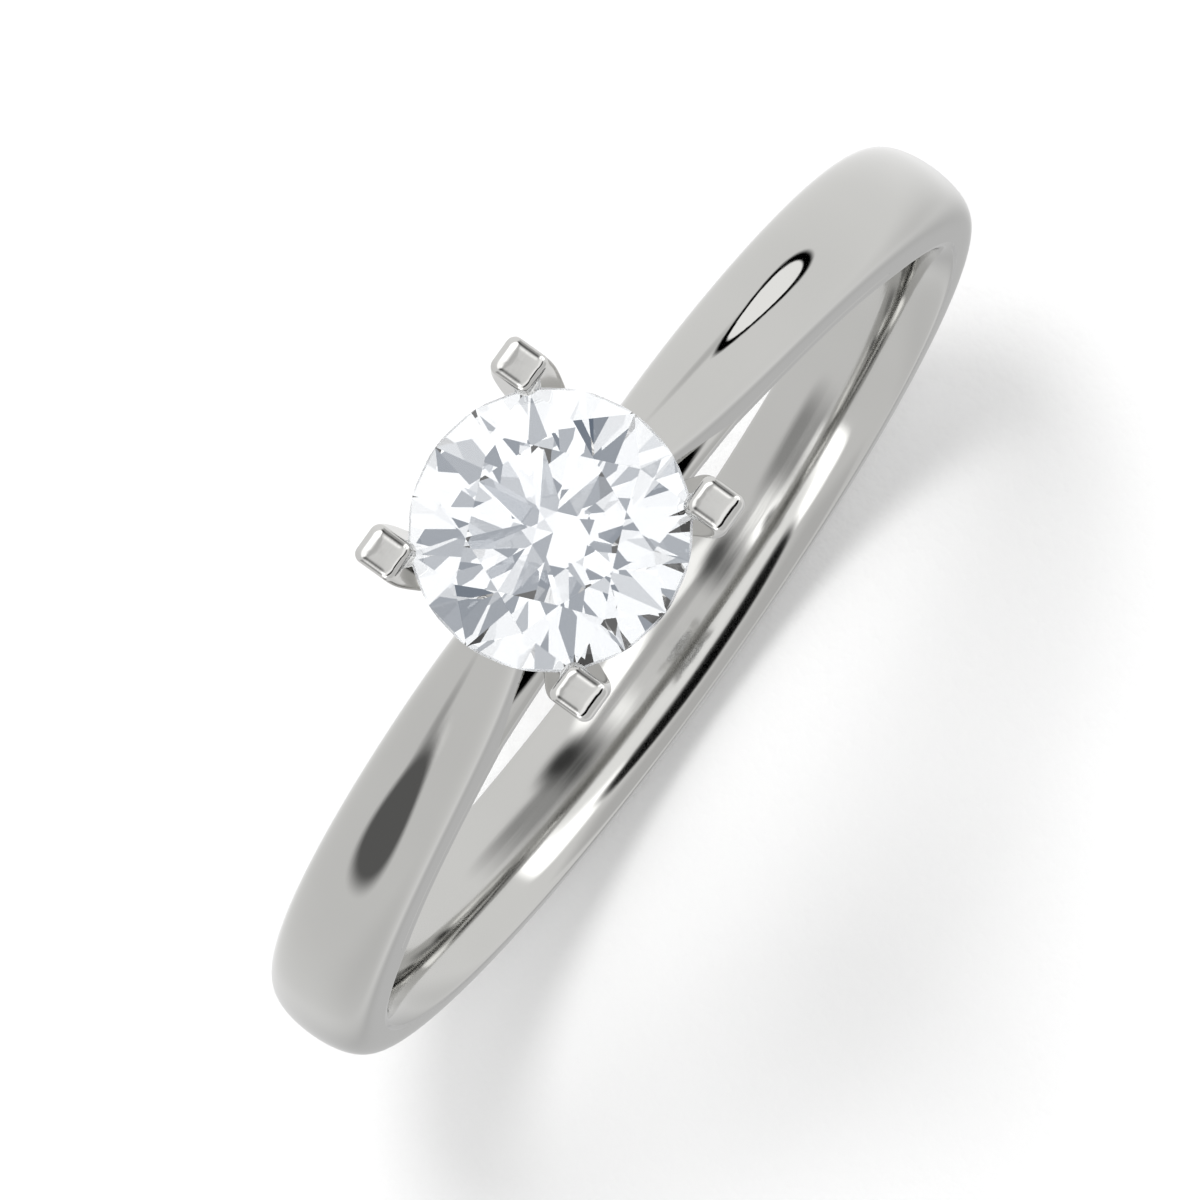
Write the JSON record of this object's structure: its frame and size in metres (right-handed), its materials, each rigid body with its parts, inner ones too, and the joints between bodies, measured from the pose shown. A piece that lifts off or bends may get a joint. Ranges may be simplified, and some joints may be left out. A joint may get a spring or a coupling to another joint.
{
  "type": "engagement ring",
  "caption": "Solitaire finger ring: round brilliant stone held by square claws over cathedral shoulders on a domed band.",
  "frame": {"origin": "centre of the finger hole", "axes": "+Y along the finger, +Z from the finger hole up through the stone, +X along the band under the stone"},
  "size_m": [0.0192, 0.0052, 0.0229],
  "materials": {
    "band_metal": "mirror polish",
    "head_metal": "mirror polish",
    "stone": "faceted and polished"
  },
  "bodies": {
    "root": {"shank": "band_metal", "finger_rail": "band_metal", "shoulder_left": "band_metal", "shoulder_right": "band_metal", "claw_front_left": "head_metal", "claw_front_right": "head_metal", "claw_back_left": "head_metal", "claw_back_right": "head_metal", "gallery_ring": "head_metal", "head_base": "head_metal", "stone": "stone"}
  },
  "joints": []
}
